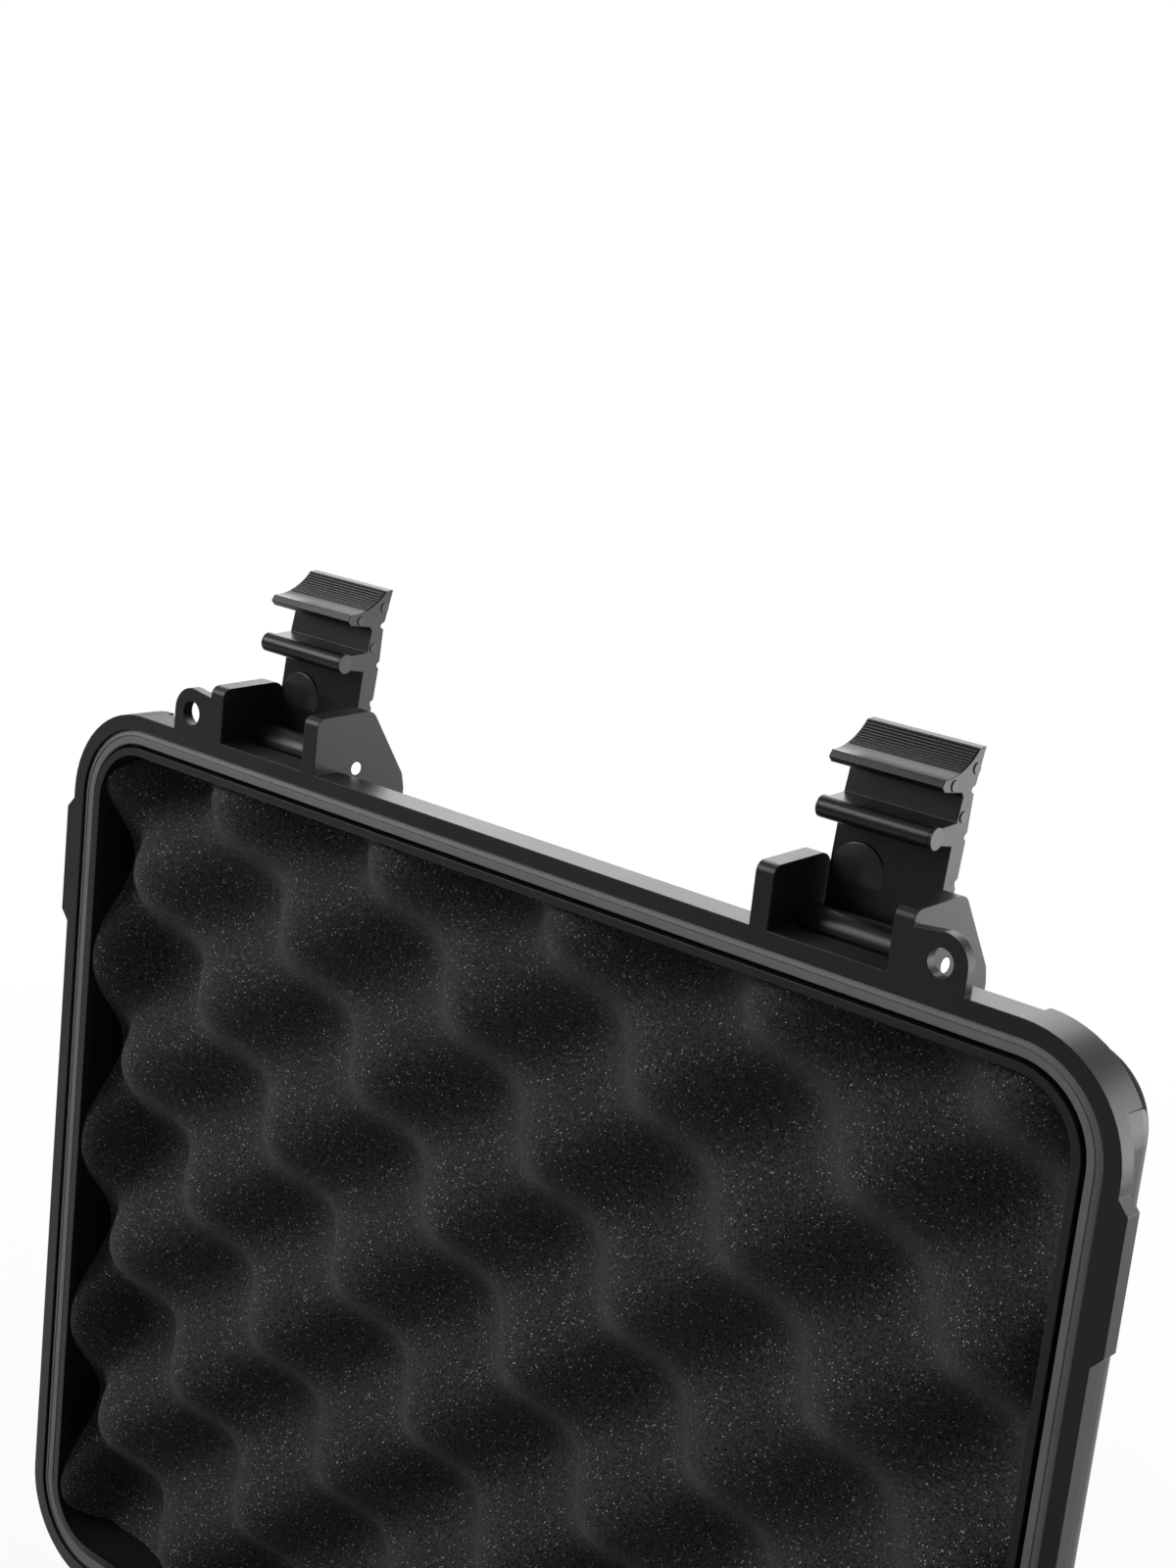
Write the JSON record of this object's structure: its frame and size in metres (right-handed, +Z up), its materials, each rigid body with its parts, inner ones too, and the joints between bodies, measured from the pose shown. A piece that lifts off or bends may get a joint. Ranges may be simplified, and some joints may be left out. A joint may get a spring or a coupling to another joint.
{
  "type": "fishing magnet case",
  "caption": "Hard watertight plastic carrying case with a hinged foam-lined lid, snap latches, folding handle and foam pockets for a fishing magnet and rope.",
  "frame": {"origin": "middle of the base's underside, on the surface that the case stands on", "axes": "+Z up, -Y the front with the latches and the handle, +X to the right seen from the front"},
  "size_m": [0.3454, 0.3726, 0.4163],
  "materials": {
    "case_plastic": "satin black moulded polypropylene with a fine texture",
    "latch_plastic": "smooth satin black moulded nylon",
    "gasket_rubber": "dark grey soft rubber",
    "lid_foam": "open-cell charcoal foam with fine sparkling cells",
    "insert_foam": "open-cell charcoal foam",
    "grip_rubber": "matt black soft grip",
    "pin_steel": "plain stainless steel",
    "valve_plastic": "satin black moulded plastic"
  },
  "bodies": {
    "base": {"base_shell": "case_plastic", "base_foam_insert": "insert_foam", "base_floor_pad": "insert_foam", "hinge_pin_left": "pin_steel", "hinge_pin_right": "pin_steel", "handle_pin_left": "pin_steel", "handle_pin_right": "pin_steel", "valve_body": "valve_plastic", "valve_o_ring": "gasket_rubber", "valve_nut": "valve_plastic"},
    "lid": {"lid_shell": "case_plastic", "lid_gasket": "gasket_rubber", "lid_foam": "lid_foam", "latch_pin_left": "pin_steel", "latch_pin_right": "pin_steel"},
    "left_latch": {"latch_left": "latch_plastic"},
    "right_latch": {"latch_right": "latch_plastic"},
    "handle": {"carry_handle": "latch_plastic", "handle_grip": "grip_rubber"},
    "knob": {"valve_knob": "valve_plastic"}
  },
  "joints": [
    {"name": "lid_hinge", "type": "hinge", "parent": "base", "child": "lid", "pos_m": [0, 0.141, 0.1034], "axis": [1, 0, 0], "range_deg": [0, 99.2]},
    {"name": "latch_left_turn", "type": "hinge", "parent": "lid", "child": "left_latch", "pos_m": [-0.09275, 0.20393, 0.37311], "axis": [1, 0, 0], "range_deg": [0, 92]},
    {"name": "latch_right_turn", "type": "hinge", "parent": "lid", "child": "right_latch", "pos_m": [0.09275, 0.20393, 0.37311], "axis": [1, 0, 0], "range_deg": [0, 92]},
    {"name": "handle_swing", "type": "hinge", "parent": "base", "child": "handle", "pos_m": [0, -0.135, 0.0884], "axis": [-1, 0, 0], "range_deg": [0, 90]},
    {"name": "valve_turn", "type": "hinge", "parent": "base", "child": "knob", "pos_m": [0.1656, 0, 0.07], "axis": [1, 0, 0], "range_deg": [0, 180]}
  ]
}
